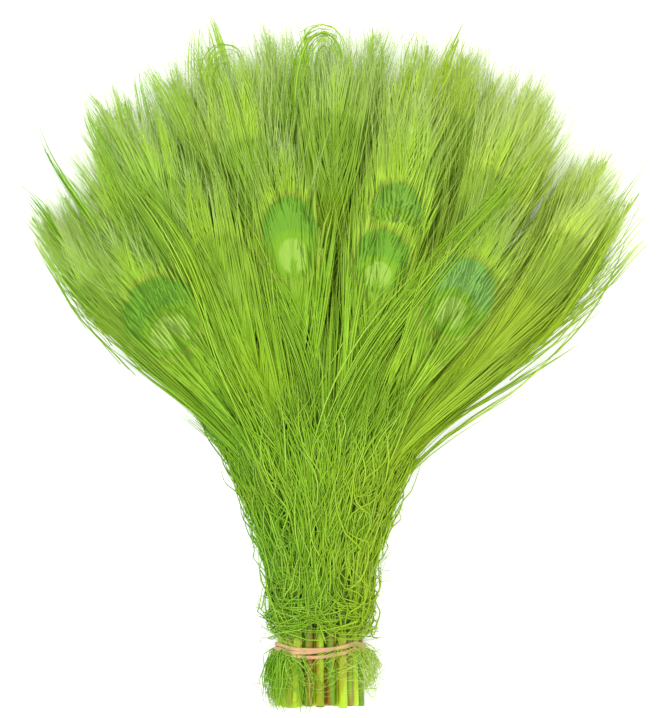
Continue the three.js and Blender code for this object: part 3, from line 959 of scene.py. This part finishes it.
class Nodes:
    """Short calls for the nodes of one material."""

    def __init__(self, name):
        self.material = bpy.data.materials.new(name)
        self.material.use_nodes = True
        self.tree = self.material.node_tree
        self.shader = self.tree.nodes["Principled BSDF"]

    def put(self, socket, value):
        if isinstance(value, bpy.types.NodeSocket):
            self.tree.links.new(value, socket)
        else:
            socket.default_value = value

    def new(self, kind, **inputs):
        """A node with a value or a link at each named input, where _ stands for a space."""
        node = self.tree.nodes.new("ShaderNode" + kind)
        for name, value in inputs.items():
            self.put(node.inputs[name.replace("_", " ")], value)
        return node

    def attribute(self, name):
        node = self.new("Attribute")
        node.attribute_name = name
        return node.outputs["Fac"]

    def math(self, operation, a, b=0.0, clamp=False):
        node = self.new("Math")
        node.operation = operation
        node.use_clamp = clamp
        for socket, value in zip(node.inputs, (a, b)):
            self.put(socket, value)
        return node.outputs[0]

    def times(self, a, b):
        return self.math("MULTIPLY", a, b)

    def ramp(self, value, low, high):
        """0 at low, 1 at high, smooth between."""
        node = self.new("MapRange", Value=value, From_Min=low, From_Max=high)
        node.interpolation_type = "SMOOTHSTEP"
        return node.outputs["Result"]

    def blend(self, share, a, b):
        """The mix node has its colours at inputs 6 and 7."""
        node = self.new("Mix", Factor=share)
        node.data_type = "RGBA"
        self.put(node.inputs[6], a)
        self.put(node.inputs[7], b)
        return node.outputs[2]

    def noise(self, scale, detail=2.0, along=1.0):
        """Noise whose patches can be drawn out along the quills, with a share of its scale there."""
        place = self.new("TexCoord").outputs["Object"]
        drawn_out = self.new("Mapping", Vector=place, Scale=(1.0, along, 1.0)).outputs["Vector"]
        return self.new("TexNoise", Vector=drawn_out, Scale=scale, Detail=detail).outputs["Fac"]

    def finish(self, colour, roughness, specular=0.5, grain=None, strength=0.0):
        """Join the colour to the shader, and a fine bump of this grain if there is one."""
        self.put(self.shader.inputs["Base Color"], colour)
        self.shader.inputs["Roughness"].default_value = roughness
        self.shader.inputs["Specular IOR Level"].default_value = specular
        if grain:
            bump = self.new("Bump", Strength=strength, Distance=GRAIN_DEPTH, Height=self.noise(grain))
            self.put(self.shader.inputs["Normal"], bump.outputs[0])
        return self.material


def srgb(*colour):
    """A colour as it looks, from 0 to 255, as Blender's linear values."""
    shares = [value / 255 for value in colour]
    return (*(s / 12.92 if s <= 0.04045 else ((s + 0.055) / 1.055) ** 2.4 for s in shares), 1.0)


def barb_material():
    n = Nodes("dyed_barbs")
    tone = n.attribute("tone")
    t = n.attribute("barb_t")
    warm = n.attribute("warm")
    u, v = n.attribute("eye_u"), n.attribute("eye_v")
    dark = n.blend(warm, srgb(84, 140, 26), srgb(126, 162, 28))
    middle = n.blend(warm, srgb(116, 172, 36), srgb(150, 186, 38))
    light = n.blend(warm, srgb(146, 194, 60), srgb(174, 208, 66))
    colour = n.blend(n.ramp(tone, 0.0, 0.5), dark, middle)
    colour = n.blend(n.ramp(tone, 0.5, 1.0), colour, light)
    # painted light: the colour gets lighter towards the feather's tip, which brightens the upper fan
    tipward = n.attribute("tipward")
    lit = n.blend(warm, srgb(168, 214, 76), srgb(212, 238, 94))
    colour = n.blend(n.times(tipward, 0.8), colour, lit)
    # the dye took less on the ends of the barbs and on the thinnest of them
    pale = srgb(206, 222, 164)
    at_end = n.times(n.ramp(t, 0.45, 1.0), n.attribute("paling"))
    colour = n.blend(at_end, colour, pale)
    fade = n.times(n.attribute("fading"), n.ramp(t, 0.3, 0.9))
    colour = n.blend(n.times(fade, 0.8), colour, srgb(226, 236, 206))
    colour = n.blend(n.times(n.ramp(tone, 1.0, 1.3), 0.6), colour, pale)
    # broad patches where it took unevenly
    patch = n.noise(28.0)
    colour = n.blend(n.times(n.ramp(patch, 0.42, 0.75), 0.3), colour, srgb(164, 190, 26))

    seen, blue = n.attribute("eye_seen"), n.attribute("eye_blue")

    def oval(half_width, half_length, offset, aside=0.0):
        """The distance from an oval's middle, 1 on its edge."""
        across = n.math("DIVIDE", n.math("SUBTRACT", u, aside), half_width)
        along = n.math("DIVIDE", n.math("SUBTRACT", v, offset), half_length)
        squares = n.math("ADD", n.times(across, across), n.times(along, along))
        return n.math("SQRT", squares)

    def inside(distance, soft=0.12):
        return n.ramp(distance, 1 + soft, 1 - soft)

    def painted(colour, mask, over, strength):
        share = n.math("MULTIPLY", n.times(mask, seen), strength, clamp=True)
        return n.blend(share, colour, over)

    # one feather's eye has a wide olive outer part on its right
    one = n.ramp(blue, 0.5, 0.9)
    rim = n.times(one, inside(oval(20, 20, -6, 12), 0.05))
    colour = painted(colour, rim, srgb(160, 180, 76), 0.6)
    olive = n.times(one, inside(oval(18.6, 18.6, -6, 12), 0.06))
    colour = painted(colour, olive, srgb(126, 160, 38), 0.75)
    colour = painted(colour, inside(oval(17, 21, -3), 0.15), srgb(116, 158, 32), 0.7)
    colour = painted(colour, inside(oval(14.8, 16.6, 1), 0.07), srgb(144, 160, 58), 0.75)
    colour = painted(colour, inside(oval(13.4, 15, 1), 0.06), srgb(106, 152, 32), 0.95)
    teal = n.times(inside(oval(12.6, 12, 3.5), 0.12), n.ramp(v, -4, 5))
    colour = painted(colour, teal, n.blend(blue, srgb(98, 150, 42), srgb(112, 160, 76)), 0.85)
    colour = painted(colour, inside(oval(9.8, 9.4, -5.5), 0.14), srgb(116, 162, 34), 0.85)
    # the pale kidney, notched on the quill's side
    kidney = inside(oval(6.2, 6.2, -5.5), 0.12)
    notch = inside(oval(1.6, 4.6, -11), 0.3)
    kidney = n.times(kidney, n.math("SUBTRACT", 1.0, notch))
    colour = painted(colour, kidney, srgb(146, 182, 74), 0.85)

    return n.finish(colour, roughness=0.65, specular=0.12, grain=2600.0, strength=0.3)


def quill_material():
    n = Nodes("dyed_quill")
    along, shade, cut = n.attribute("along"), n.attribute("shade"), n.attribute("cut")
    fresh = n.blend(n.ramp(shade, 0.3, 0.7), srgb(98, 140, 10), srgb(172, 206, 20))
    brown = n.times(n.ramp(n.noise(260.0, 2.0, 0.12), 0.44, 0.54), n.ramp(shade, 0.8, 0.4))
    fresh = n.blend(n.times(brown, 0.9), fresh, srgb(138, 96, 14))
    # painted shade: from the band up, where the band and the barbs cover the quill, it is darker, and from
    # 40 mm on less dark
    colour = n.blend(n.ramp(along, 0, 10), fresh, srgb(88, 118, 16))
    colour = n.blend(n.ramp(along, 40, 90), colour, srgb(120, 166, 24))
    colour = n.blend(n.ramp(cut, 0.4, 0.6), colour, srgb(150, 166, 70))
    return n.finish(colour, roughness=0.35, specular=0.35, grain=700.0, strength=0.2)


def rubber_material():
    n = Nodes("tan_rubber")
    patch = n.noise(160.0, 4.0)
    colour = n.blend(n.ramp(patch, 0.35, 0.7), srgb(198, 158, 112), srgb(184, 142, 98))
    return n.finish(colour, roughness=0.5, grain=1500.0, strength=0.25)


def floor_material():
    n = Nodes("pale_floor")
    colour = n.blend(n.ramp(n.noise(3.0), 0.3, 0.7), (0.9, 0.9, 0.9, 1), (0.93, 0.93, 0.92, 1))
    n.shader.inputs["Emission Color"].default_value = (1, 1, 1, 1)
    n.shader.inputs["Emission Strength"].default_value = 0.3
    return n.finish(colour, roughness=0.9)


# The photograph's view: straight down, with the whole bunch in the frame
FRAME_W, FRAME_H = 664, 718
MM_PER_PIXEL = 0.4
BAND_PIXEL = (320, 650)
SEEN_HEIGHT = 30.0  # the height whose scale is the photograph's
CAMERA_DISTANCE = 1600.0
SENSOR = 36.0


def make_camera():
    data = bpy.data.cameras.new("camera")
    data.sensor_width = SENSOR
    data.lens = SENSOR * CAMERA_DISTANCE / (FRAME_H * MM_PER_PIXEL)
    data.clip_end = 100.0
    camera = bpy.data.objects.new("camera", data)
    x = (FRAME_W / 2 - BAND_PIXEL[0]) * MM_PER_PIXEL * METRE
    y = (BAND_PIXEL[1] - FRAME_H / 2) * MM_PER_PIXEL * METRE
    camera.location = (BUNCH_X + x, BUNCH_Y + y, (CAMERA_DISTANCE + SEEN_HEIGHT) * METRE)
    bpy.context.scene.collection.objects.link(camera)
    bpy.context.scene.camera = camera


def area_light(name, place, size, power):
    data = bpy.data.lights.new(name, "AREA")
    data.shape = "DISK"
    data.size = size
    data.energy = power
    light = bpy.data.objects.new(name, data)
    light.location = place
    light.rotation_euler = (-light.location).to_track_quat("-Z", "Y").to_euler()
    bpy.context.scene.collection.objects.link(light)


def make_surroundings():
    bpy.ops.mesh.primitive_plane_add(size=12, location=(0, 0, 0))
    floor = bpy.context.object
    floor.name = "floor"
    floor.data.materials.append(floor_material())
    world = bpy.data.worlds.new("studio")
    world.use_nodes = True
    background = world.node_tree.nodes["Background"]
    background.inputs["Color"].default_value = (1, 1, 1, 1)
    background.inputs["Strength"].default_value = 1.0
    area_light("softbox", (-0.35, 0.35, 1.5), 1.2, 16)
    area_light("fill", (0.9, -0.6, 1.1), 1.0, 5)
    scene = bpy.context.scene
    scene.world = world
    scene.view_settings.view_transform = "Standard"
    scene.view_settings.look = "None"


make_camera()
make_surroundings()
feathers = all_feathers()
bundle = Bundle(feathers)
feather_materials = [barb_material(), quill_material()]
for each in feathers:
    make_feather(each, bundle, feather_materials)
band_mesh(rubber_material())
